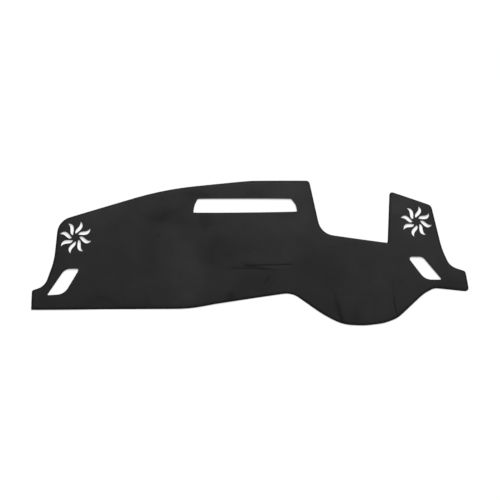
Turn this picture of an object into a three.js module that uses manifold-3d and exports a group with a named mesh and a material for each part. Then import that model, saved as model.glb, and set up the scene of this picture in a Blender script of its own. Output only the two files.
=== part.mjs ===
// Dashboard cover mat of a right-hand-drive car, lying flat with its brushed face up.
//
// The mat is one laminated sheet of brushed fabric on foam, cut to the plan of the dashboard.
// Its outer edge is overlocked: the sewing thins the sheet there and rounds its rim.
// The openings are cut clean and left unsewn: a slot over the defroster outlet, a slanted opening
// over each side vent, and a pinwheel of flame-shaped cuts over each corner speaker.
// Sewn darts shape the sheet to the dashboard and show as creases in its face.
//
// Millimetres. +X runs from the passenger's end to the driver's, +Y towards the windscreen and +Z
// up. The origin is the middle of the footprint, on the surface that the mat lies on.

import * as THREE from "three";
import { mergeVertices } from "three/addons/utils/BufferGeometryUtils.js";
import Module from "manifold-3d";

const wasm = await Module();
wasm.setup();

// Sheet and overlocked edge

const sheetThickness = 4;
const edge = {
  band: 10, // the face starts to fall here, before the sewing
  crest: [4.5, 1], // it steepens this far in, and this far below the face
  thickness: 1.6, // of the rim, where the sewing thins it most
  roll: 1, // how far in the rounded rim reaches
  rollSteps: 2, // facets in each half of the rim's section
};

// Outline. The pattern's X is measured from the tip of the passenger's tab and its Y from the
// straight edge over the glovebox. Corners of the driver's end are measured back from the tip of
// the driver's tab. Each corner is [along, up, radius].

const length = 1490; // tip to tip, before the tabs' corners are rounded
const passengerEnd = {
  tabFoot: [0, 0, 3],
  tabTop: [3, 66, 7],
  tabRoot: [46, 80, 52],
  bend: [78, 167, 250],
  shoulder: [93, 303, 59],
};
const driverEnd = {
  lipSide: [156, 54, 120],
  tabRoot: [120, 74, 41],
  tabFoot: [0, 62, 11],
  tabTop: [13, 131, 11],
  tabThroat: [66, 149, 54],
  bend: [93, 207, 280],
  shoulder: [130, 355, 20],
  earTip: [271, 403, 9],
};
const notch = {
  width: 226, // along its lower edge
  lean: 41, // the centre panel's side leans by this much
  foot: [278, 228, 3], // the corner below the driver's ear
  rootHeight: 259,
  rootRadius: 60,
};
const centre = {
  top: 439, // level edge along the windscreen
  cornerRadius: 12,
  levelLength: 198,
  levelRadius: 560,
  slopeRun: 295, // the middle stretch of the windscreen edge
  slopeDrop: 29,
  slopeRadius: 1170,
};
const apex = [604, 58.4, 73]; // where the lower edge turns down to the hood, from the driver's tip
const gloveboxEdge = {
  ease: [-256, -38, 680], // these two are measured back from the apex
  turn: [-348, -55, 490],
};
const lip = {
  fromDriver: 355, // middle of the hood's lip, from the driver's tip
  low: -54, // its lowest point on the pattern
  farShoulder: [-136, 33.4, 460], // these are [along, up, radius] from the lip's middle
  farCorner: [-72.4, 3.4, 145],
  middle: [0, 0, 280],
  nearCorner: [65.4, 8.4, 155],
  nearShoulder: [111.5, 25.4, 100],
};

// Openings

const slot = {
  fromCorner: 41, // from the centre panel's corner to the slot's longer end
  fromEdge: 62, // the strip left along the windscreen
  length: 352,
  height: 46,
  tilt: 3.6, // the lower edge climbs by this much
  passengerLean: 14,
  passengerKnee: [2.5, 22, 60],
  driverLean: 20,
  driverKnee: [4, 22, 28],
  topRadius: 7,
  footRadius: 1,
};
const passengerVent = {
  fromRoot: [8.4, -30], // its pointed foot, from the tab's root
  height: 89,
  slant: 61,
  topWidth: 48,
  footWidth: 58,
  footRise: 3,
  topRound: 34,
  footRound: 47,
  tip: 4,
  point: 1.5,
};
const driverVent = {
  fromThroat: [28, -46],
  height: 77,
  slant: 65,
  topWidth: 50,
  footWidth: 55.5,
  footRise: 0,
  topRound: 23,
  footRound: 44,
  tip: 6,
  point: 2,
};
const pinwheel = {
  rays: 8,
  root: 12, // radius at which the cuts start
  belly: 8.5, // how far each side bulges from the ray's axis
  rootLift: 4.6, // how far the two points of a ray lie to one side of its axis
  tipLift: 4,
  curveSteps: 6,
};
// The tip is the radius at which a pinwheel's cuts end, and the turn is in degrees. The cloth was
// pulled a little along its bias when it was cut, which leaves each pinwheel slightly oval.
const passengerSun = { fromShoulder: [58.3, -57.1], turn: 26, tip: 55.5, bias: 42, pull: 0.054 };
const driverSun = { fromShoulder: [50.2, -54.5], turn: 30.7, tip: 53, bias: 137, pull: 0.048 };

// Darts: each is a line of sewing that pulls the face down into a crease. Points are [along, up],
// and the centre pair is measured from the apex of the lower edge, the hood pair from the lip.

const dart = { width: 5, depth: 1.6, steps: 10, overcut: 1 };
const centreDarts = [
  [[-159, 90], [-128, 92], [-60, 94], [1, 96]],
  [[-203, 84], [-160, 86], [-110, 82], [-67, 79]],
];
const hoodDarts = [
  [[-109, 117], [-97, 92], [-84, 46], [-66, -4]],
  [[95, 141], [100, 92], [107, 52], [116, 14]],
];

const arcTolerance = 0.1; // how far a facet may lie from a round corner

// Outline tools

// An outline is a list of corners, anticlockwise, each with the radius that rounds it.
const corner = ([x, y, radius]) => ({ x, y, radius });
const fromDriver = ([along, up, radius]) => corner([length - along, up, radius]);

// Turn at a corner, in radians: positive to the left.
function turnAt(before, here, after) {
  const a = new THREE.Vector2(here.x - before.x, here.y - before.y);
  const b = new THREE.Vector2(after.x - here.x, after.y - here.y);
  return Math.atan2(a.cross(b), a.dot(b));
}

// Moves every edge of an outline inwards and gives the new corners, whose arcs stay concentric.
function inset(corners, distance) {
  const count = corners.length;
  return corners.map((here, i) => {
    const before = corners[(i + count - 1) % count];
    const after = corners[(i + 1) % count];
    const turn = turnAt(before, here, after);
    const heading = Math.atan2(here.y - before.y, here.x - before.x);
    const inward = heading + Math.PI / 2 + turn / 2;
    const reach = distance / Math.cos(turn / 2);
    const radius = here.radius - Math.sign(turn) * distance;
    return {
      x: here.x + reach * Math.cos(inward),
      y: here.y + reach * Math.sin(inward),
      radius: Math.max(radius, 0.05 * here.radius),
      steps: here.steps,
    };
  });
}

// Readies an outline: each radius is limited to what its two edges have room for, and the facets of
// its arc are counted once, so that all insets match point for point.
function fitted(corners) {
  const count = corners.length;
  const turns = corners.map((here, i) =>
    Math.abs(turnAt(corners[(i + count - 1) % count], here, corners[(i + 1) % count])),
  );
  const backs = corners.map((here, i) => here.radius * Math.tan(turns[i] / 2));
  const room = corners.map((here, i) => {
    const next = (i + 1) % count;
    const edgeLength = Math.hypot(corners[next].x - here.x, corners[next].y - here.y);
    return Math.min(1, (0.98 * edgeLength) / Math.max(backs[i] + backs[next], 1e-6));
  });
  return corners.map((here, i) => {
    const radius = here.radius * Math.min(room[i], room[(i + count - 1) % count]);
    const facet = 2 * Math.acos(1 - arcTolerance / Math.max(radius, 2 * arcTolerance));
    return { ...here, radius, steps: Math.max(2, Math.ceil(turns[i] / facet)) };
  });
}

// The points of a rounded outline.
function outlinePoints(corners) {
  const count = corners.length;
  return corners.flatMap((here, i) => {
    const before = corners[(i + count - 1) % count];
    const after = corners[(i + 1) % count];
    const turn = turnAt(before, here, after);
    const heading = Math.atan2(here.y - before.y, here.x - before.x);
    const back = here.radius * Math.tan(Math.abs(turn) / 2);
    const side = Math.sign(turn);
    const start = new THREE.Vector2(
      here.x - back * Math.cos(heading),
      here.y - back * Math.sin(heading),
    );
    const middle = new THREE.Vector2(
      start.x - side * here.radius * Math.sin(heading),
      start.y + side * here.radius * Math.cos(heading),
    );
    return Array.from({ length: here.steps + 1 }, (_, k) =>
      start.clone().rotateAround(middle, (turn * k) / here.steps),
    );
  });
}

const matOutline = () => {
  const { tabFoot, tabTop, tabRoot, bend, shoulder } = passengerEnd;
  const beforeApex = ([along, up, radius]) =>
    corner([length - apex[0] + along, apex[1] + up, radius]);
  const lipCorner = ([along, up, radius]) =>
    corner([length - lip.fromDriver + along, lip.low + up, radius]);
  const notchRoot = length - notch.foot[0] - notch.width;
  const panelCorner = notchRoot - notch.lean;
  const levelEnd = panelCorner - centre.levelLength;
  return fitted([
    corner(tabFoot),
    beforeApex(gloveboxEdge.turn),
    beforeApex(gloveboxEdge.ease),
    fromDriver(apex),
    lipCorner(lip.farShoulder),
    lipCorner(lip.farCorner),
    lipCorner(lip.middle),
    lipCorner(lip.nearCorner),
    lipCorner(lip.nearShoulder),
    fromDriver(driverEnd.lipSide),
    fromDriver(driverEnd.tabRoot),
    fromDriver(driverEnd.tabFoot),
    fromDriver(driverEnd.tabTop),
    fromDriver(driverEnd.tabThroat),
    fromDriver(driverEnd.bend),
    fromDriver(driverEnd.shoulder),
    fromDriver(driverEnd.earTip),
    fromDriver(notch.foot),
    corner([notchRoot, notch.rootHeight, notch.rootRadius]),
    corner([panelCorner, centre.top, centre.cornerRadius]),
    corner([levelEnd, centre.top, centre.levelRadius]),
    corner([levelEnd - centre.slopeRun, centre.top - centre.slopeDrop, centre.slopeRadius]),
    corner(shoulder),
    corner(bend),
    corner(tabRoot),
    corner(tabTop),
  ]);
};

// Solid tools

// A skin through a row of rings of points, capped at its first and last ring.
function skin(rings) {
  const size = rings[0].length;
  const index = [];
  for (let r = 0; r < rings.length - 1; r++) {
    const low = r * size;
    const high = low + size;
    for (let i = 0; i < size; i++) {
      const next = (i + 1) % size;
      index.push(low + i, low + next, high + next, low + i, high + next, high + i);
    }
  }
  const last = (rings.length - 1) * size;
  for (const [a, b, c] of capFaces(rings[0])) index.push(a, c, b);
  for (const [a, b, c] of capFaces(rings.at(-1))) index.push(last + a, last + b, last + c);
  return new THREE.BufferGeometry().setFromPoints(rings.flat()).setIndex(index);
}

const capFaces = (ring) =>
  ring.length === 3
    ? [[0, 1, 2]]
    : THREE.ShapeUtils.triangulateShape(ring.map((p) => new THREE.Vector2(p.x, p.y)), []);

const ringAt = (corners, distance, z) =>
  outlinePoints(inset(corners, distance)).map((p) => new THREE.Vector3(p.x, p.y, z));

function toSolid(geometry) {
  const bare = geometry.clone();
  bare.deleteAttribute("normal");
  bare.deleteAttribute("uv");
  const merged = mergeVertices(bare);
  return new wasm.Manifold(
    new wasm.Mesh({
      numProp: 3,
      vertProperties: merged.getAttribute("position").array,
      triVerts: new Uint32Array(merged.getIndex().array),
    }),
  );
}

function toGeometry(solid) {
  const mesh = solid.getMesh();
  const geometry = new THREE.BufferGeometry();
  geometry.setAttribute("position", new THREE.BufferAttribute(mesh.vertProperties, 3));
  geometry.setIndex(new THREE.BufferAttribute(mesh.triVerts, 1));
  const faceted = geometry.toNonIndexed();
  faceted.computeVertexNormals();
  return faceted;
}

// A straight-walled cutter through the whole sheet.
function cutter(points) {
  const overrun = sheetThickness;
  const geometry = new THREE.ExtrudeGeometry(new THREE.Shape(points), {
    depth: sheetThickness + 2 * overrun,
    bevelEnabled: false,
  });
  return toSolid(geometry.translate(0, 0, -overrun));
}

// Openings

function slotPoints() {
  const end = length - notch.foot[0] - notch.width - notch.lean - slot.fromCorner;
  const start = end - slot.length;
  const top = centre.top - slot.fromEdge;
  const foot = top - slot.height;
  const [passengerIn, passengerUp, passengerRound] = slot.passengerKnee;
  const [driverIn, driverUp, driverRound] = slot.driverKnee;
  const corners = [
    [start, foot, slot.footRadius],
    [end, foot + slot.tilt, slot.footRadius],
    [end - driverIn, foot + slot.tilt + driverUp, driverRound],
    [end - slot.driverLean, top, slot.topRadius],
    [start + slot.passengerLean, top, slot.topRadius],
    [start + passengerIn, foot + passengerUp, passengerRound],
  ];
  return outlinePoints(fitted(corners.map(corner)));
}

// A slanted four-sided opening: two sides lean towards the middle of the mat, its foot is pointed
// at the mat's end, and two opposite corners are well rounded. "towards" is the side it leans to.
function ventPoints(vent, foot, towards) {
  const corners = [
    [0, 0, vent.point],
    [vent.footWidth, vent.footRise, vent.footRound],
    [vent.slant + vent.topWidth, vent.height, vent.tip],
    [vent.slant, vent.height, vent.topRound],
  ].map(([along, up, radius]) => corner([foot.x + towards * along, foot.y + up, radius]));
  return outlinePoints(fitted(towards > 0 ? corners : corners.reverse()));
}

// One flame-shaped cut, pointing along +X from the middle of its pinwheel. It runs from a sharp
// root down one side to its low belly, round its blunt end to the hooked tip, and back over the
// high belly. The shares run from its root to its tip.
function rayPoints(tip) {
  const { root, belly, rootLift, tipLift, curveSteps } = pinwheel;
  const at = (share) => root + share * (tip - root);
  const ray = new THREE.Shape();
  ray.moveTo(root, rootLift);
  ray.bezierCurveTo(at(0.13), 0.14 * belly, at(0.37), -0.87 * belly, at(0.6), -belly);
  ray.bezierCurveTo(at(0.76), -1.06 * belly, at(0.92), -0.52 * belly, tip, tipLift);
  ray.bezierCurveTo(at(0.87), 0.14 * belly, at(0.74), 0.08 * belly, at(0.565), 0.4 * belly);
  ray.bezierCurveTo(at(0.39), 0.78 * belly, at(0.15), 1.5 * belly, root, rootLift);
  return ray.getPoints(curveSteps).slice(0, -1);
}

function sunCutters({ turn, tip, bias, pull }, middle) {
  const hub = new THREE.Vector2();
  const spin = (k) => THREE.MathUtils.degToRad(turn + (360 / pinwheel.rays) * k - bias);
  const pulled = new THREE.Vector2(1 + pull, 1 - pull);
  return Array.from({ length: pinwheel.rays }, (_, k) =>
    cutter(
      rayPoints(tip).map((p) =>
        p
          .rotateAround(hub, spin(k))
          .multiply(pulled)
          .rotateAround(hub, THREE.MathUtils.degToRad(bias))
          .add(middle),
      ),
    ),
  );
}

// A crease along a line of sewing: a V in the sheet's face, which fades in along its length. It
// fades out again, or runs on through the rim at full depth.
function dartCutter(line, throughRim) {
  const path = new THREE.SplineCurve(line.map(([x, y]) => new THREE.Vector2(x, y)));
  const brim = sheetThickness + dart.overcut;
  const rings = Array.from({ length: dart.steps + 1 }, (_, k) => {
    const share = k / dart.steps;
    const here = path.getPoint(share);
    const along = path.getTangent(share);
    const fade = Math.max(Math.sin((throughRim ? Math.PI / 2 : Math.PI) * share), 0.1);
    const depth = fade * dart.depth;
    const reach = ((fade * dart.width) / 2) * (1 + dart.overcut / depth);
    return [
      new THREE.Vector3(here.x + along.y * reach, here.y - along.x * reach, brim),
      new THREE.Vector3(here.x, here.y, sheetThickness - depth),
      new THREE.Vector3(here.x - along.y * reach, here.y + along.x * reach, brim),
    ];
  });
  return toSolid(skin(rings));
}

const shifted = (lines, { x, y }) =>
  lines.map((line) => line.map(([along, up]) => [x + along, y + up]));

// The mat

// The sheet before its openings are cut. Its underside is flat and its rim is half round, and its
// face rises in a ramp under the sewing to the full thickness.
function edgedSheet(outline) {
  const half = edge.thickness / 2;
  const rim = Array.from({ length: 2 * edge.rollSteps + 1 }, (_, k) => {
    const angle = (Math.PI / 2) * (k / edge.rollSteps - 1);
    return ringAt(outline, edge.roll * (1 - Math.cos(angle)), half * (1 + Math.sin(angle)));
  });
  const [crestIn, crestDrop] = edge.crest;
  const crest = ringAt(outline, crestIn, sheetThickness - crestDrop);
  return toSolid(skin([...rim, crest, ringAt(outline, edge.band, sheetThickness)]));
}

function coverMat(outline) {
  const place = (base, [along, up], way = 1) =>
    new THREE.Vector2(base.x + way * along, base.y + up);
  const passengerFoot = place(corner(passengerEnd.tabRoot), passengerVent.fromRoot);
  const driverFoot = place(fromDriver(driverEnd.tabThroat), driverVent.fromThroat, -1);
  const passengerMiddle = place(corner(passengerEnd.shoulder), passengerSun.fromShoulder);
  const driverMiddle = place(fromDriver(driverEnd.shoulder), driverSun.fromShoulder, -1);
  const lipMiddle = new THREE.Vector2(length - lip.fromDriver, lip.low);
  const cuts = [
    cutter(slotPoints()),
    cutter(ventPoints(passengerVent, passengerFoot, 1)),
    cutter(ventPoints(driverVent, driverFoot, -1)),
    ...sunCutters(passengerSun, passengerMiddle),
    ...sunCutters(driverSun, driverMiddle),
    ...shifted(centreDarts, fromDriver(apex)).map((line) => dartCutter(line, false)),
    ...shifted(hoodDarts, lipMiddle).map((line) => dartCutter(line, true)),
  ];
  return toGeometry(cuts.reduce((sheet, cut) => sheet.subtract(cut), edgedSheet(outline)));
}

// Material

const brushedFabric = new THREE.MeshStandardMaterial({
  color: 0x2f2f2f,
  roughness: 0.95,
  metalness: 0,
});

// Assembly: the pattern is centred on the middle of its footprint

const outline = matOutline();
const middle = new THREE.Box2()
  .setFromPoints(outlinePoints(outline))
  .getCenter(new THREE.Vector2());

const coverMatMesh = new THREE.Mesh(coverMat(outline), brushedFabric);
coverMatMesh.name = "cover_mat";
coverMatMesh.position.set(-middle.x, -middle.y, 0);

const dashboardMat = new THREE.Group();
dashboardMat.name = "dashboard_cover_mat";
dashboardMat.add(coverMatMesh);

export default dashboardMat;
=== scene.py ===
# %% [markdown]
# A dashboard cover mat.
#
# The mat is one sheet of brushed fabric laminated to foam and a non-slip backing. It is cut to the
# plan of a car's dashboard and lies flat, face up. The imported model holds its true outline, its
# openings and its darts. This script dresses it: a fine mesh for the sheet, with the creases of its
# darts, the overlocking thread round its rim, and the finish of the cloth.
#
# Everything is in metres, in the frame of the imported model: X runs from the passenger's end to the
# driver's, Y towards the windscreen, and Z up.

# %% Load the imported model
import math

import bmesh
import bpy
import numpy as np
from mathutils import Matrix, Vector, kdtree
from mathutils.geometry import delaunay_2d_cdt


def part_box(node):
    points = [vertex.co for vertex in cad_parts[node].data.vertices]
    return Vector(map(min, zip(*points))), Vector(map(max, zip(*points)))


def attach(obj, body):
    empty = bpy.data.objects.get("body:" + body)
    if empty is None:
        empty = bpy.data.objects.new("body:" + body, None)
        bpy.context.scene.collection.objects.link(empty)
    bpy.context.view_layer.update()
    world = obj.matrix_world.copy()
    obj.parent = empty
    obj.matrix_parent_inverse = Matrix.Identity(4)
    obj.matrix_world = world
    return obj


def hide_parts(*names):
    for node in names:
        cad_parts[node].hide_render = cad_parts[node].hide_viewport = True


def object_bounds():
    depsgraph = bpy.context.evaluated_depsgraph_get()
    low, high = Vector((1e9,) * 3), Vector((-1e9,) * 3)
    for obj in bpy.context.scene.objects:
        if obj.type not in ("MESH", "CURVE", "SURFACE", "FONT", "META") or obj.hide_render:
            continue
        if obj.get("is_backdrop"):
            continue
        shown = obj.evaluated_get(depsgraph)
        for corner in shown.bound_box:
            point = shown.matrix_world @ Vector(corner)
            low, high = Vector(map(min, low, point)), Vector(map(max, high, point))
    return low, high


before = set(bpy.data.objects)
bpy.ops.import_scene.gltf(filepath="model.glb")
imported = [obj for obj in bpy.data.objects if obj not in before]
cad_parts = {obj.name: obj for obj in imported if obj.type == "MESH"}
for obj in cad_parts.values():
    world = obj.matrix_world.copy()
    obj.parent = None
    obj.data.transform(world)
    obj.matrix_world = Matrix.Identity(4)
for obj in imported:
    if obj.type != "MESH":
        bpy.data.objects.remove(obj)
MM = 0.001
cad_box = [list(corner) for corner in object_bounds()]
low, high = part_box("cover_mat")
THICKNESS = high.z
print("mat", [round((b - a) / MM, 1) for a, b in zip(low, high)], "mm")

# %% [markdown]
# The camera looks straight down, as the photograph does. A long lens keeps the sheet free of
# perspective, which suits a flat product picture. The picture's width is given as a real width on
# the sheet, and the height of the camera follows from it.

# %% Camera
PICTURE_WIDTH = 1700 * MM
PICTURE_CENTRE = Vector((0.5 * MM, 10.5 * MM, 0))
LENS_MM = 120
SENSOR_MM = 36

camera_data = bpy.data.cameras.new("camera")
camera_data.lens = LENS_MM
camera_data.sensor_width = SENSOR_MM
camera_data.clip_end = 100
camera = bpy.data.objects.new("camera", camera_data)
bpy.context.scene.collection.objects.link(camera)
camera_height = PICTURE_WIDTH * LENS_MM / SENSOR_MM
camera.location = PICTURE_CENTRE + Vector((0, 0, THICKNESS + camera_height))
bpy.context.scene.camera = camera
print("camera", round(camera.location.z, 3), "m above the floor")

# %% [markdown]
# The sheet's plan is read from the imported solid, so that the dressed mat can't drift from it. The
# solid is merged in a copy. Its rim is the ring of edges that reaches furthest out, and each
# opening shows as a ring of edges where the flat underside stops. Both are chained into loops of
# points.

# %% Read the rim and the openings from the solid
FLAT = 1e-5  # how exactly heights and doubled points have to match, in metres


def chained(pairs):
    """Joins pairs of neighbouring vertices into closed loops."""
    neighbours = {}
    for a, b in pairs:
        neighbours.setdefault(a, []).append(b)
        neighbours.setdefault(b, []).append(a)
    loops = []
    unused = set(neighbours)
    while unused:
        start = min(unused, key=lambda v: v.index)
        loop, previous, here = [], None, start
        while here in unused:
            unused.discard(here)
            loop.append(here)
            ahead = [v for v in neighbours[here] if v is not previous]
            previous, here = here, ahead[0]
        loops.append(np.array([v.co.xy for v in loop]))
    return loops


def signed_area(loop):
    x, y = loop[:, 0], loop[:, 1]
    return 0.5 * float(np.sum(x * np.roll(y, -1) - np.roll(x, -1) * y))


def anticlockwise(loop):
    return loop if signed_area(loop) > 0 else loop[::-1]


solid = bmesh.new()
solid.from_mesh(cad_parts["cover_mat"].data)
bmesh.ops.remove_doubles(solid, verts=solid.verts, dist=FLAT)
solid.verts.index_update()


def is_underside(face):
    return all(abs(v.co.z) < FLAT for v in face.verts)


underside_loops = chained(
    [edge.verts for edge in solid.edges if sum(is_underside(f) for f in edge.link_faces) == 1]
)
underside_loops.sort(key=lambda loop: -abs(signed_area(loop)))
openings = [anticlockwise(loop) for loop in underside_loops[1:]]

tip = max(solid.verts, key=lambda v: v.co.x)
RIM_HEIGHT = tip.co.z
rim_loops = chained(
    [e.verts for e in solid.edges if all(abs(v.co.z - RIM_HEIGHT) < FLAT for v in e.verts)]
)
rim = anticlockwise(max(rim_loops, key=lambda loop: abs(signed_area(loop))))
solid.free()
print("openings", len(openings), "rim height", round(RIM_HEIGHT / MM, 2), "mm")

# %% [markdown]
# The solid draws its round corners with straight facets. Up close that shows, so each loop is drawn
# again as a smooth curve through the same points. A Catmull-Rom curve passes through all of them,
# and its centripetal form doesn't overshoot where a long straight edge meets a short facet. The
# sharp corners, such as the points of the flames, end one curve and start the next.

# %% Smooth the loops
SHARP_TURN = math.radians(38)
RIM_SPACING = 2.4 * MM
OPENING_SPACING = 1.6 * MM


def turns(loop):
    """How far the direction changes at each point of a closed loop."""
    before = loop - np.roll(loop, 1, axis=0)
    after = np.roll(loop, -1, axis=0) - loop
    cross = before[:, 0] * after[:, 1] - before[:, 1] * after[:, 0]
    return np.abs(np.arctan2(cross, np.sum(before * after, axis=1)))


def curve_through(points, spacing):
    """A centripetal Catmull-Rom curve through an open run of points, without its last point."""
    padded = np.vstack([2 * points[0] - points[1], points, 2 * points[-1] - points[-2]])
    drawn = []
    for p0, p1, p2, p3 in zip(padded, padded[1:], padded[2:], padded[3:]):
        knots = np.cumsum([0] + [math.sqrt(math.dist(a, b)) for a, b in ((p0, p1), (p1, p2), (p2, p3))])
        t0, t1, t2, t3 = knots
        steps = max(1, round(math.dist(p1, p2) / spacing))
        t = np.linspace(t1, t2, steps, endpoint=False)[:, None]
        a1 = ((t1 - t) * p0 + (t - t0) * p1) / (t1 - t0)
        a2 = ((t2 - t) * p1 + (t - t1) * p2) / (t2 - t1)
        a3 = ((t3 - t) * p2 + (t - t2) * p3) / (t3 - t2)
        b1 = ((t2 - t) * a1 + (t - t0) * a2) / (t2 - t0)
        b2 = ((t3 - t) * a2 + (t - t1) * a3) / (t3 - t1)
        drawn.append(((t2 - t) * b1 + (t - t1) * b2) / (t2 - t1))
    return np.vstack(drawn)


def smoothed(loop, spacing):
    corners = list(np.flatnonzero(turns(loop) > SHARP_TURN))
    if not corners:
        lengths = np.linalg.norm(np.roll(loop, -1, axis=0) - loop, axis=1)
        longest = int(np.argmax(lengths))
        middle = (loop[longest] + loop[(longest + 1) % len(loop)]) / 2
        loop = np.vstack([middle, np.roll(loop, -longest - 1, axis=0)])
        corners = [0]
    runs = []
    for start, end in zip(corners, corners[1:] + [corners[0] + len(loop)]):
        run = loop[[k % len(loop) for k in range(start, end + 1)]]
        runs.append(curve_through(run, spacing))
    return np.vstack(runs)


rim = smoothed(rim, RIM_SPACING)
openings = [smoothed(loop, OPENING_SPACING) for loop in openings]
print("rim points", len(rim), "opening points", sum(len(loop) for loop in openings))

# %% [markdown]
# Three things shape the sheet's surface. Its section falls in a ramp at the rim, where the thread
# pinches it. Its darts are creases. And like any laminate that was rolled up before it was laid
# down, it isn't quite flat: it has broad, shallow swells and a few small dents, which catch the
# light. All three are functions of the place on the plan, so that every point of the mesh, and
# every stitch later, can ask for its height.

# %% Section, darts and swells
ROLL = 1 * MM  # depth of the rounded rim
BAND = 15 * MM  # how far in from the rim the sheet regains its thickness
PINCHED = 1.4 * MM  # thickness of the sheet at its rim
RAMP_CURVE = 3.2  # above 1, the ramp flattens as it climbs
LIP = 0.9 * MM  # width of the soft lip round each opening
LIP_DROP = 0.45 * MM
RIM_LIFT = 0.45 * MM  # the thread under the rim holds it this far off the floor

# Each dart is a line on the plan, in millimetres, with the width and depth of its crease. Further
# lines on a dart widen, deepen or lengthen it there. The last line is a short crease on its own.
DARTS = [
    {"line": [(-18, -42), (30, -42), (95, -40.5), (146, -39)], "width": 6.5, "depth": 1.7},
    {"line": [(-20, -43), (0, -45.5), (22, -44)], "width": 15, "depth": 1.5},
    {"line": [(96, -40.5), (146, -39)], "width": 8, "depth": 1.8},
    {"line": [(-62, -53), (-25, -52), (20, -53), (66, -55), (80, -58)], "width": 9.5, "depth": 1.4},
    {"line": [(70, -57), (100, -58), (130, -59)], "width": 6, "depth": 0.5},
    {"line": [(284, -132), (293, -156), (303, -190), (314, -236)], "width": 24, "depth": 0.6},
    {"line": [(303, -204), (310, -222), (318, -240)], "width": 22, "depth": 1.2},
    {"line": [(484, -92), (488, -124), (490, -150), (493, -186), (501, -212)], "width": 5, "depth": 0.8},
    {"line": [(490, -144), (493, -184), (502, -214)], "width": 8, "depth": 1.6},
    {"line": [(66, -78), (61, -91), (50, -105)], "width": 10, "depth": 0.8},
]
# Each dent is (x, y, radius, depth) in millimetres, where the cloth was pressed.
DENTS = [
    (2, -46, 13, 0.4),
    (-312, 60, 9, 0.6),
    (-64, -146, 24, 0.7),
]
CREASE_START = 0.04  # how far into its fade a crease starts and ends, so that its ends show
CREASE_POWER = 1.2  # above 1, the sides of a crease flatten towards its edges
DENT_FALL = 2.5  # how fast a dent fades towards its radius
SWELLS = 1.1 * MM  # how far the swells rise
LEAST_SWELL = 0.05  # the share of that rise which is left where a swell is lowest
SWELL_LENGTHS = (420 * MM, 170 * MM)
SWELL_SEED = 7
WAVE_STRENGTHS = (1, 0.45, 0.2)  # of the waves of the first, second and third length
WAVES_OF_A_LENGTH = 5
WAVE_PEAK = 3  # waves that cross seldom add up to more than this


def waves(points, lengths, seed):
    """Waves that cross at random, from about -1 to 1. The first length is the strongest."""
    draw = np.random.default_rng(seed)
    height = np.zeros(len(points))
    for length, strength in zip(lengths, WAVE_STRENGTHS):
        for _ in range(WAVES_OF_A_LENGTH):
            angle = draw.uniform(0, np.pi)
            wave = np.array([np.cos(angle), np.sin(angle)]) * 2 * np.pi / length
            height += strength * np.sin(points @ wave + draw.uniform(0, 2 * np.pi))
    return height / WAVE_PEAK


def polyline_distance(points, line):
    """Distance of each point from an open line, and the share of the line where it is nearest."""
    line = np.array(line) * MM
    starts, ends = line[:-1], line[1:]
    lengths = np.linalg.norm(ends - starts, axis=1)
    run = np.concatenate([[0], np.cumsum(lengths)])
    best = np.full(len(points), np.inf)
    share = np.zeros(len(points))
    for a, b, length, before in zip(starts, ends, lengths, run):
        t = np.clip((points - a) @ (b - a) / length**2, 0, 1)
        gap = np.linalg.norm(points - (a + t[:, None] * (b - a)), axis=1)
        nearer = gap < best
        best[nearer] = gap[nearer]
        share[nearer] = (before + t[nearer] * length) / run[-1]
    return best, share


def crease(points):
    """How deep the darts and dents lie below the face."""
    depth = np.zeros(len(points))
    for dart in DARTS:
        gap, share = polyline_distance(points, dart["line"])
        across = np.clip(1 - 2 * gap / (dart["width"] * MM), 0, 1)
        faded = share * (1 - 2 * CREASE_START) + CREASE_START
        fade = np.sqrt(np.sin(np.pi * np.clip(faded, 0, 1)))
        depth = np.maximum(depth, dart["depth"] * MM * fade * across**CREASE_POWER)
    for x, y, radius, deep in DENTS:
        gap = np.linalg.norm(points - np.array([x, y]) * MM, axis=1) / (radius * MM)
        depth = depth + deep * MM * np.exp(-DENT_FALL * gap**2)
    return depth


def swell(points):
    """How far the sheet's underside rises from the floor, which it never quite meets."""
    return SWELLS * np.clip(0.5 + 0.5 * waves(points, SWELL_LENGTHS, SWELL_SEED), LEAST_SWELL, 1)


def quarter_round(inward):
    """A quarter circle, from 0 at the rim to 1 where its roll ends."""
    return np.sqrt(np.clip(1 - (1 - np.clip(inward / ROLL, 0, 1)) ** 2, 0, 1))


def edge_face(inward):
    """Height of the face over the underside at a distance in from the rim."""
    rolled = RIM_HEIGHT + (PINCHED - RIM_HEIGHT) * quarter_round(inward)
    climb = 1 - (1 - np.clip((inward - ROLL) / (BAND - ROLL), 0, 1)) ** RAMP_CURVE
    return rolled + (THICKNESS - PINCHED) * climb


def edge_underside(inward):
    """Height of the underside over the floor at a distance in from the rim."""
    rolled = RIM_HEIGHT * (1 - quarter_round(inward))
    return rolled + RIM_LIFT * np.clip(1 - inward / BAND, 0, 1) ** 2


sample = np.array([[x, 0.0] for x in np.linspace(low.x, high.x, 9)])
print("swells", (swell(sample) / MM).round(2), "mm")
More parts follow.
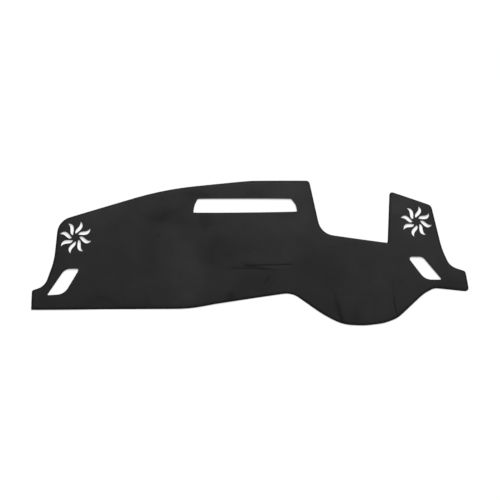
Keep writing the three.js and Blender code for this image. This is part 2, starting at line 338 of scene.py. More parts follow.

# %% [markdown]
# Brushed cloth keeps the mark of every hand that passed over it. Where the pile leans towards the
# light it looks paler, and where it leans away it looks darker. These marks are broad and soft, so
# they can be painted on the mesh as one number for each point, which the material reads. Each mark
# is an oval with a soft edge, and waves bend the ovals so that none looks drawn. The darker marks
# along the darts, over a dent and along the lower rim are painted shade, and the creases get painted
# shade by their depth. At the rim itself the colour follows the light: painted shade along the lower
# edges, which lie away from the light, and painted light along the windscreen.

# %% Brush marks and painted shade in the pile
# Each mark is (x, y, half length, half width, angle, shade), in millimetres and degrees. A shade of
# 0.1 is a tenth lighter. Some darker marks paint shade, as noted beside them.
BRUSH_AND_SHADE_MARKS = [
    (-218, -92, 115, 54, 90, 0.2),
    (-246, 50, 60, 26, 90, 0.08),
    (-306, 122, 28, 44, 0, -0.2),
    (-262, 128, 74, 28, 12, -0.22),
    (-176, 194, 52, 24, 15, -0.25),
    (-152, 104, 30, 24, 0, -0.24),
    (-100, 128, 26, 16, 0, 0.08),
    (-112, -8, 50, 28, 0, -0.07),
    (-373, -76, 40, 28, 0, -0.07),
    (12, 208, 24, 16, 0, -0.16),
    (0, 188, 44, 12, 0, 0.07),
    (150, 205, 60, 30, 0, 0.16),
    (105, 104, 120, 40, -5, 0.13),
    (172, 128, 40, 24, 0, 0.07),
    (-505, 122, 60, 28, 25, 0.16),
    (-560, 126, 60, 26, 0, 0.09),
    (-440, 164, 44, 20, 15, 0.08),
    (-585, -30, 60, 48, 90, 0.06),
    (-345, 20, 80, 30, 85, -0.09),
    (-100, 20, 95, 42, 5, -0.2),
    # painted shade along the long dart
    (0, -48, 75, 14, 0, -0.14),
    (30, -112, 80, 26, 5, -0.12),
    (60, -75, 110, 50, 0, -0.12),
    (245, -28, 84, 52, 15, -0.2),
    # painted shade over a dent
    (-58, -148, 64, 22, 5, -0.13),
    (270, -110, 80, 60, 0, -0.12),
    # the next two paint shade along the hood's lower rim and beside its dart
    (262, -182, 110, 28, -28, -0.14),
    (302, -184, 34, 15, -66, -0.16),
    (369, -214, 14, 26, 0, -0.14),
    (440, -110, 70, 34, 90, 0.07),
    (-735, -150, 24, 40, 0, 0.1),
    (508, 158, 40, 28, 20, 0.22),
    (510, 92, 30, 24, 0, 0.07),
    (560, 40, 90, 52, 100, 0.1),
    (632, -4, 56, 40, 90, 0.1),
    (640, -70, 70, 40, -10, 0.1),
    (670, -112, 50, 25, 0, -0.2),
    # the last two paint shade along the lower rim
    (-570, -160, 90, 16, 0, -0.07),
    (-420, -180, 260, 18, 0, -0.16),
]
BEND = 15 * MM  # how far the waves bend a mark's edge
BEND_LENGTHS = (150 * MM, 60 * MM, 28 * MM)
BEND_SEEDS = (11, 12)  # for the bends along X and along Y
MARK_POWER = 1.3  # above 1, a mark has a flatter middle and a firmer edge
CREASE_PAINTED_SHADE = 0.4  # how much darker a fully pressed crease is painted: its flattened pile and its shade
CREASE_SHADE_DEPTH = 0.9 * MM  # a crease this deep gets the full painted shade
LIGHT_SIDE = np.array([0.2, 0.98])  # the light comes from here, on the plan
RIM_PAINTED_LIGHT = 0.3  # how much painted light and shade change the colour at the rim itself
RIM_PAINTED_LIGHT_WIDTH = 12 * MM


def pile_tone_and_painted_shade(points):
    """The pile's tone at each point, with painted shade in the creases and some marks, as a factor round
    1.
    """
    bends = [waves(points, BEND_LENGTHS, seed) for seed in BEND_SEEDS]
    bent = points + BEND * np.column_stack(bends)
    shade = np.ones(len(points))
    for x, y, half_length, half_width, angle, lighter in BRUSH_AND_SHADE_MARKS:
        away = bent - np.array([x, y]) * MM
        cos, sin = math.cos(math.radians(angle)), math.sin(math.radians(angle))
        along = (away[:, 0] * cos + away[:, 1] * sin) / (half_length * MM)
        across = (away[:, 1] * cos - away[:, 0] * sin) / (half_width * MM)
        shade *= 1 + lighter * np.exp(-((along**2 + across**2) ** MARK_POWER))
    # creases are darker by depth: partly their pressed pile, partly painted shade
    return shade * (1 - CREASE_PAINTED_SHADE * np.clip(crease(points) / CREASE_SHADE_DEPTH, 0, 1))


def rim_painted_light(rim_distance, outward):
    """Painted light and shade near the rim, lighter facing the light and darker facing away, round 1."""
    rim_paint = RIM_PAINTED_LIGHT * np.clip(1 - rim_distance / RIM_PAINTED_LIGHT_WIDTH, 0, 1)
    return 1 + rim_paint * (outward @ LIGHT_SIDE)


print("brush marks", len(BRUSH_AND_SHADE_MARKS), "shades", pile_tone_and_painted_shade(sample).round(2))

# %% [markdown]
# The sheet is meshed on its plan first. Rows of points follow the rim and the openings closely,
# where the section changes within a millimetre, and an even grid fills the rest. A constrained
# triangulation joins them without ever crossing an edge of the cloth.
#
# Two kinds of question come up all the time: how far a point is from an edge, and on which side it
# lies. A tree of points answers the first quickly, and counting crossings answers the second.

# %% Measure on the plan


def normals_of(loop):
    """Unit normals to the left of a closed loop."""
    along = np.roll(loop, -1, axis=0) - np.roll(loop, 1, axis=0)
    along /= np.linalg.norm(along, axis=1)[:, None]
    return np.column_stack([-along[:, 1], along[:, 0]])


def tree_of(points):
    tree = kdtree.KDTree(len(points))
    for k, (x, y) in enumerate(points):
        tree.insert((x, y, 0), k)
    tree.balance()
    return tree


def distances(tree, points):
    return np.array([tree.find((x, y, 0))[2] for x, y in points])


def is_inside(points, loop):
    """Whether each point lies inside a closed loop, by counting the edges to its right."""
    inside = np.zeros(len(points), bool)
    x, y = points[:, 0], points[:, 1]
    for (x0, y0), (x1, y1) in zip(loop, np.roll(loop, -1, axis=0)):
        if y0 != y1:
            crosses = (y0 > y) != (y1 > y)
            inside ^= crosses & (x < (x1 - x0) * (y - y0) / (y1 - y0) + x0)
    return inside


rim_tree = tree_of(rim)
lip_tree = tree_of(np.vstack(openings))
print("the sample lies", (distances(rim_tree, sample) / MM).round(0), "mm from the rim")

# %% Lay rows of points along the edges and darts
RIM_ROWS = [row * MM for row in (0.35, 0.9, 1.7, 3, 4.6, 6.2, 8, 10, 12.5, 15.5)]
LIP_ROWS = [0.45 * MM, 0.9 * MM, 2.2 * MM]
DART_ROWS = [0, 1.2 * MM, 2.5 * MM, 5 * MM, 8 * MM]
DART_SPACING = 3 * MM
KEEP_CLEAR = 0.92  # where a row comes nearer to its edge than this share of its distance, it is cut

rows = []
for inward in RIM_ROWS:
    row = rim + inward * normals_of(rim)
    rows.append(row[distances(rim_tree, row) > KEEP_CLEAR * inward])
for outward in LIP_ROWS:
    for loop in openings:
        row = loop - outward * normals_of(loop)
        rows.append(row[distances(lip_tree, row) > KEEP_CLEAR * outward])
for dart in DARTS:
    line = curve_through(np.array(dart["line"]) * MM, DART_SPACING)
    along = np.gradient(line, axis=0)
    along /= np.linalg.norm(along, axis=1)[:, None]
    across = np.column_stack([-along[:, 1], along[:, 0]])
    rows += [line + side * offset * across for offset in DART_ROWS for side in (-1, 1)]
row_points = np.vstack(rows)
print("rows", len(rows), "points in them", len(row_points))

# %% Fill the rest with a grid
GRID = 6 * MM
GRID_GAP = 0.55 * GRID  # a grid point this near to a row's point is dropped
RIM_GAP = 0.3 * MM  # nothing else lies this near to the rim
LIP_GAP = 0.35 * MM  # nothing else lies this near to an opening

columns = np.arange(low.x, high.x, GRID)
grid = np.array(
    [
        (x + GRID / 2 * (k % 2), y)
        for k, y in enumerate(np.arange(low.y, high.y, GRID * math.sin(math.pi / 3)))
        for x in columns
    ]
)
near_rows = distances(tree_of(row_points), grid)
grid = grid[near_rows > GRID_GAP]
inner = np.vstack([row_points, grid])
inner = inner[is_inside(inner, rim)]
for loop in openings:
    inner = inner[~is_inside(inner, loop)]
inner = inner[distances(rim_tree, inner) > RIM_GAP]
inner = inner[distances(lip_tree, inner) > LIP_GAP]
print("points inside the cloth", len(inner))

# %% Join the points into triangles
CLOSE = 2e-5  # points nearer than this, in metres, become one

plan_points = [*rim]
plan_edges = [(k, (k + 1) % len(rim)) for k in range(len(rim))]
for loop in openings:
    first = len(plan_points)
    plan_points += [*loop]
    plan_edges += [(first + k, first + (k + 1) % len(loop)) for k in range(len(loop))]
plan_points += [*inner]
found = delaunay_2d_cdt([Vector(p) for p in plan_points], plan_edges, [], 1, CLOSE)
plan = np.array([v[:] for v in found[0]])
triangles = np.array(found[2])
centres = plan[triangles].mean(axis=1)
for loop in openings:
    outside = ~is_inside(centres, loop)
    triangles, centres = triangles[outside], centres[outside]
a, b, c = (plan[triangles[:, k]] for k in range(3))
spin = (b[:, 0] - a[:, 0]) * (c[:, 1] - a[:, 1]) - (b[:, 1] - a[:, 1]) * (c[:, 0] - a[:, 0])
triangles = np.where((spin > 0)[:, None], triangles, triangles[:, ::-1])
print("plan", len(plan), "points and", len(triangles), "triangles")

# %% [markdown]
# Raising the plan twice gives the sheet, once as its face and once as its underside, and walls
# close the openings. Points on the rim belong to both sides, and all others are made twice.

# %% Raise the sheet


def mesh_object(name, vertices, faces):
    mesh = bpy.data.meshes.new(name)
    mesh.from_pydata(vertices, [], faces)
    mesh.update()
    made = bpy.data.objects.new(name, mesh)
    bpy.context.scene.collection.objects.link(made)
    return made


def face_height(points):
    """Height of the dressed face over the floor."""
    inward = distances(rim_tree, points)
    from_lip = distances(lip_tree, points)
    lip = LIP_DROP * np.clip(1 - from_lip / LIP, 0, 1) ** 2
    return swell(points) + edge_face(inward) - lip - crease(points)


sources = found[3]
made_from = {source: k for k, group in enumerate(sources) for source in group}
on_rim = np.array([bool(group) and min(group) < len(rim) for group in sources])
rim_distance = distances(rim_tree, plan)
face_z = np.where(on_rim, swell(plan) + RIM_HEIGHT, face_height(plan))
underside_z = swell(plan) + edge_underside(rim_distance)

face_points = np.column_stack([plan, face_z])
second = np.full(len(plan), -1)  # the underside's vertex below each point of the face
second[~on_rim] = len(plan) + np.arange(int(np.sum(~on_rim)))
second[on_rim] = np.flatnonzero(on_rim)
underside_points = np.column_stack([plan, underside_z])[~on_rim]

walls = []
first = len(rim)
for loop in openings:
    ring = [made_from[first + k] for k in range(len(loop))]
    for here, there in zip(ring, ring[1:] + ring[:1]):
        walls.append((int(here), int(there), int(second[there]), int(second[here])))
    first += len(loop)
print("walls", len(walls), "in", len(openings), "openings")

# %% [markdown]
# The mesh gets three material slots, for the face, the backing and the cut edges. The face keeps
# its pile's tone with the painted shade and painted light at each point as an attribute, which its
# material reads. A mesh that is raised from a plan should be closed, so the open edges are counted.

# %% Make the sheet's mesh
FACE, BACKING, CUT = range(3)  # material slots of the sheet

vertices = np.vstack([face_points, underside_points])
faces = [tuple(int(v) for v in t) for t in triangles]
faces += [tuple(int(second[v]) for v in t[::-1]) for t in triangles]
faces += walls
sheet = mesh_object("cover_sheet", vertices.tolist(), faces)
sheet.data.polygons.foreach_set("use_smooth", [True] * len(faces))
kinds = [FACE] * len(triangles) + [BACKING] * len(triangles) + [CUT] * len(walls)
sheet.data.polygons.foreach_set("material_index", kinds)

nearest_rim = [rim_tree.find((x, y, 0))[1] for x, y in plan]
outward = -normals_of(rim)[nearest_rim]
shade = np.ones(len(vertices), np.float32)
# the pile's tone, with painted shade in creases and marks and painted light and shade at the rim
shade[: len(plan)] = pile_tone_and_painted_shade(plan) * rim_painted_light(rim_distance, outward)
attribute = sheet.data.attributes.new("pile_tone_and_painted_shade", "FLOAT", "POINT")
attribute.data.foreach_set("value", shade)

cleaning = bmesh.new()
cleaning.from_mesh(sheet.data)
loose = [v for v in cleaning.verts if not v.link_faces]
bmesh.ops.delete(cleaning, geom=loose, context="VERTS")
open_edges = [e for e in cleaning.edges if len(e.link_faces) != 2]
volume = cleaning.calc_volume(signed=True)
cleaning.to_mesh(sheet.data)
cleaning.free()
print("sheet", len(sheet.data.polygons), "faces,", len(loose), "loose points removed")
print("open edges", len(open_edges), "volume", round(volume * 1e6), "ml")

# %% [markdown]
# The rim is overlocked. On each stitch a looper thread runs from the needle's line out over the
# rim and back, so the edge shows a dense row of slanted threads, and a needle thread lies in short
# dashes along the inner line. One stitch is made as a small mesh, and Geometry Nodes place a copy
# at every step along the rim. That is the node setup to reach for whenever one small thing repeats
# along a path. Each thread is a tube along a few points, with only four sides, because there are
# over a thousand stitches.

# %% A tube for the thread
THREAD_RADIUS = 0.35 * MM
THREAD_SIDES = 4
ACROSS = Vector((0.31, 0.11, 1))  # no thread runs this way, so each can be given sides across it


def tube(path, radius, sides):
    """A closed tube of the given radius along a path of points."""
    path = [Vector(p) for p in path]
    points, quads = [], []
    for k, here in enumerate(path):
        ahead = path[min(k + 1, len(path) - 1)]
        behind = path[max(k - 1, 0)]
        along = (ahead - behind).normalized()
        side = along.cross(ACROSS).normalized()
        up = side.cross(along)
        for s in range(sides):
            angle = 2 * math.pi * (s + 0.5) / sides
            points.append(here + radius * (math.cos(angle) * side + math.sin(angle) * up))
    for k in range(len(path) - 1):
        for s in range(sides):
            a, b = k * sides + s, k * sides + (s + 1) % sides
            quads.append((a, b, b + sides, a + sides))
    last = (len(path) - 1) * sides
    quads.append(tuple(range(sides - 1, -1, -1)))
    quads.append(tuple(range(last, last + sides)))
    return points, quads


print("thread", round(2 * THREAD_RADIUS / MM, 2), "mm thick")

# %% Model one stitch
STITCH_PITCH = 3.2 * MM
NEEDLE_LINE = 6.3 * MM  # how far in from the rim the needle goes down
THREAD_RISE = 0.14 * MM  # the middle of the thread lies this far above the cloth
LOOPER_END = -0.1 * MM  # the looper thread ends this far in the cloth
DASH_END = -0.15 * MM  # and the needle thread this far


def on_face(along, inward, rise=THREAD_RISE):
    """A point on the cloth's face, in a stitch's own frame: X along the rim and Y inward."""
    height = float(edge_face(np.array([inward]))[0])
    return (along * STITCH_PITCH, inward, height + rise)


out_over = [
    on_face(0.0, NEEDLE_LINE, LOOPER_END),
    on_face(0.12, 4.9 * MM),
    on_face(0.25, 3.1 * MM),
    on_face(0.36, 1.4 * MM),
    (0.44 * STITCH_PITCH, 0.1 * MM, RIM_HEIGHT + 0.75 * MM),
    (0.48 * STITCH_PITCH, -0.16 * MM, RIM_HEIGHT),
    (0.5 * STITCH_PITCH, 0.5 * MM, 0.5 * MM),
    (0.5 * STITCH_PITCH, 3.4 * MM, 0.36 * MM),
    (0.5 * STITCH_PITCH, 5.8 * MM, 0.34 * MM),
]
back_over = [
    (0.56 * STITCH_PITCH, -0.16 * MM, RIM_HEIGHT),
    (0.6 * STITCH_PITCH, 0.1 * MM, RIM_HEIGHT + 0.75 * MM),
    on_face(0.68, 1.4 * MM),
    on_face(0.78, 3.1 * MM),
    on_face(0.89, 4.9 * MM),
    on_face(1.0, NEEDLE_LINE, LOOPER_END),
]
needle_dash = [
    on_face(0.06, NEEDLE_LINE, DASH_END),
    on_face(0.3, NEEDLE_LINE),
    on_face(0.7, NEEDLE_LINE),
    on_face(0.94, NEEDLE_LINE, DASH_END),
]
stitch_points, stitch_faces = [], []
for strand in (out_over, back_over, needle_dash):
    strand_points, strand_faces = tube(strand, THREAD_RADIUS, THREAD_SIDES)
    shift = len(stitch_points)
    stitch_points += strand_points
    stitch_faces += [tuple(v + shift for v in face) for face in strand_faces]
stitch = mesh_object("one_stitch", stitch_points, stitch_faces)
fixing = bmesh.new()
fixing.from_mesh(stitch.data)
bmesh.ops.recalc_face_normals(fixing, faces=fixing.faces)
fixing.to_mesh(stitch.data)
fixing.free()
stitch.data.polygons.foreach_set("use_smooth", [True] * len(stitch.data.polygons))
print("one stitch", len(stitch.data.polygons), "faces")

# %% [markdown]
# Now the node tree that sews. Its inputs carry the sizes, so the same tree could edge another mat.
# The rim arrives as a closed line, is resampled at the stitch pitch, and gets one stitch per point,
# turned to the rim's direction. A little seeded unevenness keeps it from looking machined. It ends
# in Realize Instances, because an export drops instances, and in Set Material. Two helpers keep
# this tree and the later ones short: one adds a node, the other gives a tree its sockets.

# %% Build the tree that sews


def add(tree, kind, inputs=None, **settings):
    """Adds a node, sets its properties, and fills or links its inputs by name or number."""
    made = tree.nodes.new(kind)
    for key, value in settings.items():
        setattr(made, key, value)
    for key, value in (inputs or {}).items():
        if isinstance(value, bpy.types.NodeSocket):
            tree.links.new(value, made.inputs[key])
        else:
            made.inputs[key].default_value = value
    return made


def give_sockets(tree, inputs, outputs):
    for name, kind in inputs:
        tree.interface.new_socket(name, in_out="INPUT", socket_type=kind)
    for name, kind in outputs:
        tree.interface.new_socket(name, in_out="OUTPUT", socket_type=kind)


def sewing_tree():
    tree = bpy.data.node_groups.new("Overlocked rim", "GeometryNodeTree")
    tree.is_modifier = True
    give_sockets(
        tree,
        [
            ("Rim", "NodeSocketGeometry"),
            ("Stitch", "NodeSocketObject"),
            ("Pitch", "NodeSocketFloat"),
            ("Turn unevenness", "NodeSocketFloat"),
            ("Length unevenness", "NodeSocketFloat"),
            ("Thread", "NodeSocketMaterial"),
            ("Seed", "NodeSocketInt"),
        ],
        [("Sewing", "NodeSocketGeometry")],
    )
    given = add(tree, "NodeGroupInput").outputs
    line = add(tree, "GeometryNodeMeshToCurve", {"Mesh": given["Rim"]})
    steps = add(
        tree,
        "GeometryNodeResampleCurve",
        {"Curve": line.outputs[0], "Length": given["Pitch"]},
        mode="LENGTH",
    )
    along = add(tree, "GeometryNodeInputTangent")
    facing = add(
        tree,
        "FunctionNodeAlignRotationToVector",
        {"Vector": along.outputs[0]},
        axis="X",
        pivot_axis="Z",
    )
    least_turn = add(tree, "ShaderNodeMath", {0: given["Turn unevenness"], 1: -1.0}, operation="MULTIPLY")
    turn = add(
        tree,
        "FunctionNodeRandomValue",
        {"Min": least_turn.outputs[0], "Max": given["Turn unevenness"], "Seed": given["Seed"]},
        data_type="FLOAT",
    )
    turned = add(
        tree,
        "FunctionNodeAxisAngleToRotation",
        {"Axis": (0, 0, 1), "Angle": turn.outputs["Value"]},
    )
    placed = add(
        tree,
        "FunctionNodeRotateRotation",
        {"Rotation": facing.outputs[0], "Rotate By": turned.outputs[0]},
        rotation_space="LOCAL",
    )
    shortest = add(tree, "ShaderNodeMath", {0: 1.0, 1: given["Length unevenness"]}, operation="SUBTRACT")
    length = add(
        tree,
        "FunctionNodeRandomValue",
        {"Min": shortest.outputs[0], "Max": 1.0, "Seed": given["Seed"]},
        data_type="FLOAT",
    )
    size = add(tree, "ShaderNodeCombineXYZ", {"X": 1.0, "Y": length.outputs["Value"], "Z": 1.0})
    one = add(tree, "GeometryNodeObjectInfo", {"Object": given["Stitch"], "As Instance": True})
    copies = add(
        tree,
        "GeometryNodeInstanceOnPoints",
        {
            "Points": steps.outputs[0],
            "Instance": one.outputs["Geometry"],
            "Rotation": placed.outputs[0],
            "Scale": size.outputs[0],
        },
    )
    real = add(tree, "GeometryNodeRealizeInstances", {"Geometry": copies.outputs[0]})
    coloured = add(
        tree,
        "GeometryNodeSetMaterial",
        {"Geometry": real.outputs[0], "Material": given["Thread"]},
    )
    add(tree, "NodeGroupOutput", {0: coloured.outputs[0]})
    return tree


overlock_tree = sewing_tree()
print("sewing tree", len(overlock_tree.nodes), "nodes")

# %% Sew the rim
STITCH_TURN = math.radians(4)  # a stitch may stand this much aslant
STITCH_SHORTER = 0.05  # and may be this share shorter
STITCH_SEED = 3


def run_tree(name, base, tree, values):
    """Runs a node tree on an object, and keeps the result as a plain mesh object."""
    modifier = base.modifiers.new("nodes", "NODES")
    modifier.node_group = tree
    for item in tree.interface.items_tree:
        if item.item_type == "SOCKET" and item.in_out == "INPUT" and item.name in values:
            modifier[item.identifier] = values[item.name]
    graph = bpy.context.evaluated_depsgraph_get()
    mesh = bpy.data.meshes.new_from_object(base.evaluated_get(graph), depsgraph=graph)
    made = bpy.data.objects.new(name, mesh)
    bpy.context.scene.collection.objects.link(made)
    bpy.data.objects.remove(base)
    return made


thread = bpy.data.materials.new("overlock_thread")
rim_points = np.column_stack([rim, swell(rim)]).tolist()
rim_edges = [(k, (k + 1) % len(rim)) for k in range(len(rim))]
rim_line = mesh_object("rim_line", [], [])
rim_line.data.from_pydata(rim_points, rim_edges, [])
sewing = run_tree(
    "edge_overlocking",
    rim_line,
    overlock_tree,
    {
        "Stitch": stitch,
        "Pitch": STITCH_PITCH,
        "Turn unevenness": STITCH_TURN,
        "Length unevenness": STITCH_SHORTER,
        "Thread": thread,
        "Seed": STITCH_SEED,
    },
)
bpy.data.objects.remove(stitch)
sewing_triangles = sum(len(p.vertices) - 2 for p in sewing.data.polygons)
print("overlocking", sewing_triangles, "triangles")

# %% [markdown]
# The cloth is brushed, so its surface is a short dense pile. Three scales make it: broad clouds
# where the pile leans differently, small tufts, and single fibres that only show up close. One
# shader group makes all three from Object coordinates, and the face, the backing and the cut edge
# use it with values of their own. It gives out a colour and a height, and the shader that uses
# them stays in each material.

# %% Build the nap group
CLOUD_WAVES = 12  # in a metre, as for the two below
TUFT_WAVES = 190
FIBRE_WAVES = 1500
COMBED = (1, 0.4, 1)  # the pile is combed along Y, so its tufts and fibres are longer that way
TUFT_RELIEF = 0.6  # how high the tufts stand next to the fibres


def nap_group():
    tree = bpy.data.node_groups.new("Brushed nap", "ShaderNodeTree")
    give_sockets(
        tree,
        [
            ("Color", "NodeSocketColor"),
            ("Clouds", "NodeSocketFloat"),
            ("Tufts", "NodeSocketFloat"),
            ("Fibres", "NodeSocketFloat"),
            ("Shade", "NodeSocketFloat"),
        ],
        [("Color", "NodeSocketColor"), ("Height", "NodeSocketFloat")],
    )
    given = add(tree, "NodeGroupInput").outputs
    place = add(tree, "ShaderNodeTexCoord").outputs["Object"]
    combed = add(tree, "ShaderNodeMapping", {"Vector": place, "Scale": COMBED}).outputs[0]

    def noise(where, waves_per_metre, detail, roughness=0.5):
        made = add(
            tree,
            "ShaderNodeTexNoise",
            {"Vector": where, "Scale": waves_per_metre, "Detail": detail, "Roughness": roughness},
        )
        return made.outputs[0]

    def around_one(value, strength):
        """Turns noise from 0 to 1 into a factor that varies round 1 by the strength."""
        centred = add(tree, "ShaderNodeMath", {0: value, 1: 0.5}, operation="SUBTRACT")
        doubled = add(tree, "ShaderNodeMath", {0: centred.outputs[0], 1: 2.0}, operation="MULTIPLY")
        return add(
            tree,
            "ShaderNodeMath",
            {0: doubled.outputs[0], 1: strength, 2: 1.0},
            operation="MULTIPLY_ADD",
        ).outputs[0]

    def times(a, b):
        return add(tree, "ShaderNodeMath", {0: a, 1: b}, operation="MULTIPLY").outputs[0]

    clouds = noise(place, CLOUD_WAVES, 3, 0.55)
    tufts = noise(combed, TUFT_WAVES, 2)
    fibres = noise(combed, FIBRE_WAVES, 2, 0.7)
    factor = times(
        times(around_one(clouds, given["Clouds"]), around_one(tufts, given["Tufts"])),
        around_one(fibres, given["Fibres"]),
    )
    shade = add(tree, "ShaderNodeVectorMath", {0: given["Color"]}, operation="SCALE")
    tree.links.new(times(factor, given["Shade"]), shade.inputs["Scale"])
    height = add(
        tree,
        "ShaderNodeMath",
        {0: tufts, 1: TUFT_RELIEF, 2: fibres},
        operation="MULTIPLY_ADD",
    ).outputs[0]
    add(tree, "NodeGroupOutput", {"Color": shade.outputs[0], "Height": height})
    return tree


NAP = nap_group()
print("nap group", len(NAP.nodes), "nodes")

# %% [markdown]
# Each material is one Principled shader. The face is very rough, with a little sheen for the light
# that pile scatters at a grazing angle, and its base colour carries the pile's tone, the painted
# shade of its creases and marks, and the painted light and shade at the rim. The backing is a
# smoother, darker non-slip layer with small pimples, and the cut edge shows the laminate from the
# side. All three are cloth, so one function makes them from their own values.

# %% A finish for cloth
RELIEF = 0.4 * MM  # the bump's full height
PIMPLE_TOP = 0.18  # radius of a pimple's flat top, as a share of their spacing
PIMPLE_FOOT = 0.34  # and of its foot
PIMPLE_HEIGHT = 2.5  # next to the fibres' 1


def grey(level):
    """The linear value of a grey that is written as a display level from 0 to 255."""
    share = level / 255
    return ((share + 0.055) / 1.055) ** 2.4


def grey_colour(level):
    return (grey(level), grey(level), grey(level), 1)


def material(name):
    made = bpy.data.materials.get(name) or bpy.data.materials.new(name)
    made.use_nodes = True
    made.node_tree.nodes.clear()
    return made


def cloth_material(name, level, nap, rough, bump, sheen, shaded=False, pimples=None):
    made = material(name)
    tree = made.node_tree
    pile = add(tree, "ShaderNodeGroup", node_tree=NAP)
    pile.inputs["Color"].default_value = grey_colour(level)
    for key, value in nap.items():
        pile.inputs[key].default_value = value
    colour, height = pile.outputs["Color"], pile.outputs["Height"]
    pile.inputs["Shade"].default_value = 1.0
    if shaded:
        shade = add(tree, "ShaderNodeAttribute", attribute_name="pile_tone_and_painted_shade")
        tree.links.new(shade.outputs["Fac"], pile.inputs["Shade"])
    if pimples is not None:
        place = add(tree, "ShaderNodeTexCoord").outputs["Object"]
        dots = add(
            tree,
            "ShaderNodeTexVoronoi",
            {"Vector": place, "Scale": pimples, "Randomness": 0.0},
            feature="F1",
        )
        bead = add(
            tree,
            "ShaderNodeMapRange",
            {0: dots.outputs["Distance"], 1: PIMPLE_TOP, 2: PIMPLE_FOOT, 3: 1.0, 4: 0.0},
            interpolation_type="SMOOTHSTEP",
        )
        height = add(
            tree,
            "ShaderNodeMath",
            {0: bead.outputs[0], 1: PIMPLE_HEIGHT, 2: height},
            operation="MULTIPLY_ADD",
        ).outputs[0]
    relief = add(
        tree,
        "ShaderNodeBump",
        {"Height": height, "Strength": bump, "Distance": RELIEF},
    )
    shader = add(
        tree,
        "ShaderNodeBsdfPrincipled",
        {
            "Base Color": colour,
            "Roughness": rough,
            "Normal": relief.outputs[0],
            "Specular IOR Level": 0.06,
            "Sheen Weight": sheen,
            "Sheen Roughness": 0.45,
        },
    )
    add(tree, "ShaderNodeOutputMaterial", {"Surface": shader.outputs[0]})
    return made


# %% Make the cloth's finishes
FACE_LEVEL = 43.8  # greys, as display levels from 0 to 255
BACKING_LEVEL = 38
CUT_LEVEL = 40
PIMPLES = 160  # in a metre

face = cloth_material(
    "brushed_face",
    FACE_LEVEL,
    {"Clouds": 0.18, "Tufts": 0.1, "Fibres": 0.25},
    rough=0.95,
    bump=0.45,
    sheen=0.04,
    shaded=True,
)
backing = cloth_material(
    "non_slip_backing",
    BACKING_LEVEL,
    {"Clouds": 0.08, "Tufts": 0.05, "Fibres": 0.15},
    rough=0.7,
    bump=0.4,
    sheen=0.0,
    pimples=PIMPLES,
)
cut_edge = cloth_material(
    "cut_edge",
    CUT_LEVEL,
    {"Clouds": 0.1, "Tufts": 0.2, "Fibres": 0.35},
    rough=0.95,
    bump=0.6,
    sheen=0.0,
)
for finish in (face, backing, cut_edge):
    sheet.data.materials.append(finish)
print("finishes", [m.name for m in sheet.data.materials])

# %% [markdown]
# The thread is twisted polyester, darker than the cloth and less rough. A fine noise paints shade
# between its plies and light on them, and gives it a small bump.

# %% Finish the thread
THREAD_LEVEL = 27
PLY_PAINTED_SHADE = 8  # levels below it: painted shade between the plies
PLY_PAINTED_LIGHT = 6  # levels above it: painted light on the plies
TWIST_WAVES = 2600  # in a metre
TWIST_RELIEF = 0.15 * MM

material("overlock_thread")
twist_place = add(thread.node_tree, "ShaderNodeTexCoord").outputs["Object"]
twist = add(
    thread.node_tree,
    "ShaderNodeTexNoise",
    {"Vector": twist_place, "Scale": TWIST_WAVES, "Detail": 1.0},
)
plies = add(
    thread.node_tree,
    "ShaderNodeBump",
    {"Height": twist.outputs[0], "Strength": 0.5, "Distance": TWIST_RELIEF},
)
# painted shade between the plies and painted light on them
ply_paint = add(
    thread.node_tree,
    "ShaderNodeMapRange",
    {
        0: twist.outputs[0],
        1: 0.3,
        2: 0.7,
        3: grey(THREAD_LEVEL - PLY_PAINTED_SHADE),
        4: grey(THREAD_LEVEL + PLY_PAINTED_LIGHT),
    },
)
thread_shader = add(
    thread.node_tree,
    "ShaderNodeBsdfPrincipled",
    {
        "Base Color": ply_paint.outputs[0],
        "Roughness": 0.65,
        "Specular IOR Level": 0.12,
        "Normal": plies.outputs[0],
    },
)
add(thread.node_tree, "ShaderNodeOutputMaterial", {"Surface": thread_shader.outputs[0]})
print("thread finish", thread.name, "at level", THREAD_LEVEL)

# %% [markdown]
# The sheet takes the place of the imported solid, and both pieces ride on the part's one body.

# %% Tie the pieces to the frame
for piece in (sheet, sewing):
    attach(piece, "root")
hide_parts("cover_mat")

# %% [markdown]
# The studio is a white floor, one wide soft lamp beyond the windscreen edge, and an even fill from
# the world. Together they light the middle of the mat at a level of 1, so that a colour renders
# about as it is written. The lamp is near, so its light falls off across the picture, and the mat
# is a little darker towards its lower edge.

# %% Lamp
LAMP_PLACE = Vector((0.34, 1.66, 1.55))
LAMP_SIZE = (1.6, 0.7)
LAMP_SHARE = 0.72  # of the light in the middle of the mat, and the rest is the world's fill
LAMP_ALONE_WATTS = 84.8  # from there, this would give the whole level of 1
LAMP_WATTS = LAMP_ALONE_WATTS * LAMP_SHARE

lamp_data = bpy.data.lights.new("softbox", "AREA")
lamp_data.shape = "RECTANGLE"
lamp_data.size, lamp_data.size_y = LAMP_SIZE
lamp_data.energy = LAMP_WATTS
lamp = bpy.data.objects.new("softbox", lamp_data)
lamp.location = LAMP_PLACE
lamp.rotation_euler = (-LAMP_PLACE).to_track_quat("-Z", "Y").to_euler()
bpy.context.scene.collection.objects.link(lamp)
print("lamp", round(LAMP_WATTS, 1), "W, fill", round(1 - LAMP_SHARE, 2))

# %% [markdown]
# The floor has to stay white all over. The camera sees it in a colour that makes up for the lamp's
# fall-off. That is worked out point by point from the lamp's place, as the light of many small
# spots on the lamp. Half of what the camera sees is a glow, so that the floor keeps the mat's
# shadow but keeps it pale. Light Path tells the rays that see the floor from light that bounces.

# %% Measure the light on the floor
LAMP_SPOTS = (10, 5)  # spots that stand for the lamp, across and along it


def spot_shares(count):
    """Where as many even spots lie on a width, as shares of it from its middle."""
    last = 0.5 - 0.5 / count
    return np.linspace(-last, last, count)


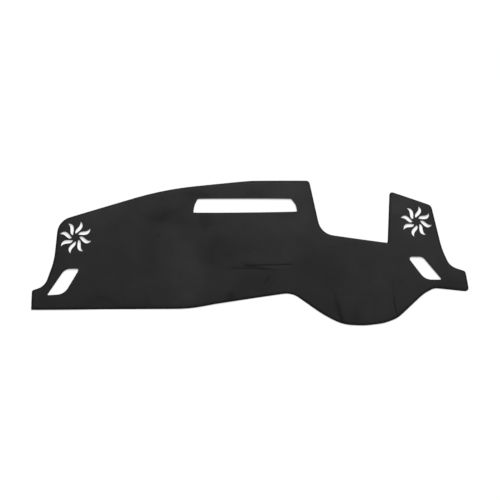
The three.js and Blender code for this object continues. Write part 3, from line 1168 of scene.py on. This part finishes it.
def lamp_light(points):
    """The lamp's light on the floor at each point, next to its light at the origin."""
    turn = (-LAMP_PLACE).to_track_quat("-Z", "Y").to_matrix()
    facing = np.array(turn @ Vector((0, 0, -1)))
    total = np.zeros(len(points) + 1)
    targets = np.vstack([[0, 0], points])
    for u in spot_shares(LAMP_SPOTS[0]):
        for v in spot_shares(LAMP_SPOTS[1]):
            spot = np.array(LAMP_PLACE + turn @ Vector((u * LAMP_SIZE[0], v * LAMP_SIZE[1], 0)))
            way = np.column_stack([targets, np.zeros(len(targets))]) - spot
            reach = np.linalg.norm(way, axis=1)
            total += np.clip(way @ facing, 0, None) * spot[2] / reach**4
    return total[1:] / total[0]


def light_level(points):
    """The light from lamp and fill together, which is 1 at the origin."""
    return LAMP_SHARE * lamp_light(points) + 1 - LAMP_SHARE


mat_ends = np.array([(low.x, 0), (0, 0), (high.x, 0), (0, high.y), (0, low.y)])
print("level at the mat's ends", light_level(mat_ends).round(2))

# %% Lay the floor
FLOOR_HALF = 7.0  # metres, from the middle to an edge
FLOOR_LINES = 61  # each way, crowded towards the mat
FLOOR_SEEN = 1.04  # how bright the camera sees the floor, where 1 is white
FLOOR_GLOW = 0.5  # the share of it that glows by itself, which leaves the mat's shadow pale
FLOOR_REAL = 0.75  # the paper's colour for light that bounces


def seen_directly(tree):
    """1 for rays from the camera, or by way of gloss or glass, and 0 for light that bounces."""
    path = add(tree, "ShaderNodeLightPath").outputs
    either = add(
        tree,
        "ShaderNodeMath",
        {0: path["Is Camera Ray"], 1: path["Is Glossy Ray"]},
        operation="MAXIMUM",
    )
    return add(
        tree,
        "ShaderNodeMath",
        {0: either.outputs[0], 1: path["Is Transmission Ray"]},
        operation="MAXIMUM",
    ).outputs[0]


lines = FLOOR_HALF * np.linspace(-1, 1, FLOOR_LINES) ** 3
floor_points = np.array([(x, y) for y in lines for x in lines])
corners = [
    row * FLOOR_LINES + column for row in range(FLOOR_LINES - 1) for column in range(FLOOR_LINES - 1)
]
floor = mesh_object(
    "floor",
    [(x, y, 0) for x, y in floor_points.tolist()],
    [(k, k + 1, k + 1 + FLOOR_LINES, k + FLOOR_LINES) for k in corners],
)
white = floor.data.attributes.new("seen_white", "FLOAT", "POINT")
white.data.foreach_set("value", (FLOOR_SEEN / light_level(floor_points)).astype(np.float32))
paper = material("white_paper")
directly = seen_directly(paper.node_tree)
evened = add(paper.node_tree, "ShaderNodeAttribute", attribute_name="seen_white")
paper_shade = add(
    paper.node_tree,
    "ShaderNodeMapRange",
    {0: directly, 3: FLOOR_REAL, 4: evened.outputs["Fac"]},
)
paper_shader = add(paper.node_tree, "ShaderNodeBsdfDiffuse", {"Color": paper_shade.outputs[0]})
glow = add(paper.node_tree, "ShaderNodeEmission", {"Color": (1, 1, 1, 1), "Strength": 1.0})
glow_share = add(
    paper.node_tree,
    "ShaderNodeMath",
    {0: directly, 1: FLOOR_GLOW},
    operation="MULTIPLY",
)
paper_surface = add(
    paper.node_tree,
    "ShaderNodeMixShader",
    {0: glow_share.outputs[0], 1: paper_shader.outputs[0], 2: glow.outputs[0]},
)
add(paper.node_tree, "ShaderNodeOutputMaterial", {"Surface": paper_surface.outputs[0]})
floor.data.materials.append(paper)
floor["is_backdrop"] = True
print("floor", len(floor_points), "points")

# %% [markdown]
# The world is the even fill. What looks straight at it sees plain white, like the floor.

# %% World
world = bpy.data.worlds.new("studio")
bpy.context.scene.world = world
world.use_nodes = True
world.node_tree.nodes.clear()
strength = add(
    world.node_tree,
    "ShaderNodeMapRange",
    {0: seen_directly(world.node_tree), 3: 1 - LAMP_SHARE, 4: 1.0},
)
sky = add(
    world.node_tree,
    "ShaderNodeBackground",
    {"Color": (1, 1, 1, 1), "Strength": strength.outputs[0]},
)
add(world.node_tree, "ShaderNodeOutputWorld", {"Surface": sky.outputs[0]})
bpy.context.scene.view_settings.view_transform = "Standard"
print("world fill", round(1 - LAMP_SHARE, 2))

# %% [markdown]
# Last, both boxes are written down: the imported model's and the dressed mat's. They should agree to
# within a few millimetres.

# %% Write the sizes and finish
dressed_box = [list(corner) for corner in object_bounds()]
for label, box in (("packed", cad_box), ("dressed", dressed_box)):
    print(label, [[round(v / MM, 1) for v in corner] for corner in box], "mm")
